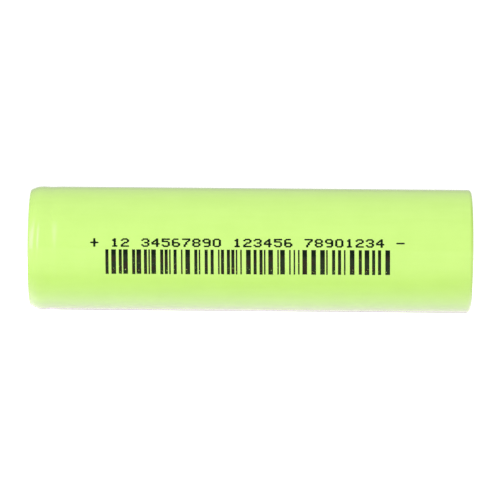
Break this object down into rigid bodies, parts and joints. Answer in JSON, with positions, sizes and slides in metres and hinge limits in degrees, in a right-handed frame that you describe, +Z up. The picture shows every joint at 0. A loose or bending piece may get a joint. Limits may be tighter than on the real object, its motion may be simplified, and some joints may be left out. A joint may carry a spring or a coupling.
{
  "type": "cylindrical battery cell",
  "caption": "Cylindrical lithium-ion cell in a lime shrink sleeve, with a rolled bead, crimped vented lid, pressure interrupter and wound electrode roll.",
  "frame": {"origin": "on the surface the cell lies on, midway along it and under its axis", "axes": "-X along the axis towards the positive terminal, +X towards the negative terminal, +Z up"},
  "size_m": [0.0652, 0.0182, 0.0182],
  "materials": {
    "shrink_sleeve": "lime green shrink film with a soft gloss",
    "plated_can": "nickel plated deep-drawn steel",
    "insulating_ring": "white fibre board",
    "seal_plastic": "milky moulded polypropylene",
    "plated_cap": "nickel plated pressed steel",
    "conductive_polymer": "carbon filled polymer between thin metal faces",
    "vent_aluminium": "pressed sheet",
    "interrupter_plastic": "moulded",
    "insulating_film": "punched sheet",
    "pin_steel": "rolled from strip",
    "cathode_coating": "black metal oxide coating on aluminium foil",
    "anode_coating": "dark grey graphite coating on copper foil",
    "separator_film": "white microporous film",
    "roll_tape": "green polyester tape",
    "tab_aluminium": "rolled strip",
    "tab_nickel": "rolled nickel strip",
    "tab_tape": "amber polyimide tape"
  },
  "bodies": {
    "cell": {"shrink_sleeve": "shrink_sleeve", "can": "plated_can", "top_insulator_ring": "insulating_ring", "crimp_gasket": "seal_plastic", "positive_cap": "plated_cap", "ptc_ring": "conductive_polymer", "vent_disc": "vent_aluminium", "interrupter_ring": "interrupter_plastic", "interrupter_plate": "vent_aluminium", "upper_insulator": "insulating_film", "lower_insulator": "insulating_film", "centre_pin": "pin_steel", "cathode_strip": "cathode_coating", "anode_strip": "anode_coating", "separator_inner": "separator_film", "separator_outer": "separator_film", "roll_closing_tape": "roll_tape", "positive_tab": "tab_aluminium", "positive_tab_tape": "tab_tape", "negative_tab": "tab_nickel", "negative_tab_tape": "tab_tape"},
    "diaphragm": {"vent_diaphragm": "vent_aluminium"}
  },
  "joints": [
    {"name": "diaphragm_snap", "type": "slide", "parent": "cell", "child": "diaphragm", "axis": [-1, 0, 0], "range_m": [0, 0.0008]}
  ]
}
